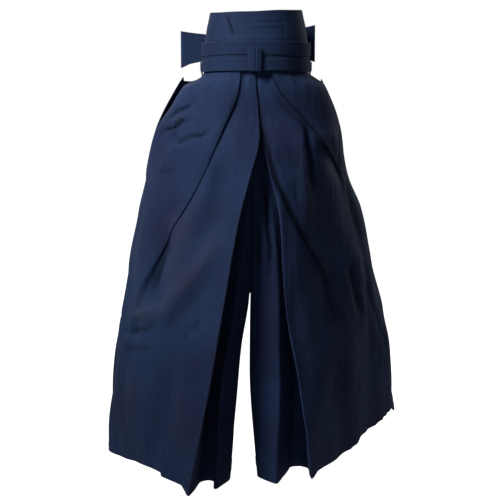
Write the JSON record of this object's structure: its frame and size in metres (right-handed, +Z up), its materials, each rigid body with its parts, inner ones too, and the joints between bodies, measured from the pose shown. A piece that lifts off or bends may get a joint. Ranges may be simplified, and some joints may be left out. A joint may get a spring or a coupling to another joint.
{
  "type": "hakama trousers",
  "caption": "Wide pleated divided trousers as worn, tied at the waist with wound ties and a flat sash bow behind, hollow legs and open side slits.",
  "frame": {"origin": "centre of the waist, at the middle height of the wound ties", "axes": "+Z up to the top of the sash, -Y to the front of the wearer, +X to the wearer's left"},
  "size_m": [0.666, 0.5162, 1.0204],
  "materials": {
    "panel_cloth": "smooth twill, dull sheen",
    "band_cloth": "folded band of the same twill",
    "sash_cloth": "stiff ribbed sash cloth"
  },
  "bodies": {
    "root": {"front_panel_right": "panel_cloth", "front_panel_left": "panel_cloth", "back_panel_right": "panel_cloth", "back_panel_left": "panel_cloth", "crotch_gusset": "panel_cloth", "himo_inner_wrap": "band_cloth", "himo_upper_wrap": "band_cloth", "himo_lower_wrap": "band_cloth", "himo_knot": "band_cloth", "himo_back_right": "band_cloth", "himo_back_left": "band_cloth", "koshi_board": "band_cloth", "obi_wrap": "sash_cloth", "obi_bow_right": "sash_cloth", "obi_bow_left": "sash_cloth", "obi_bow_knot": "sash_cloth"}
  },
  "joints": []
}
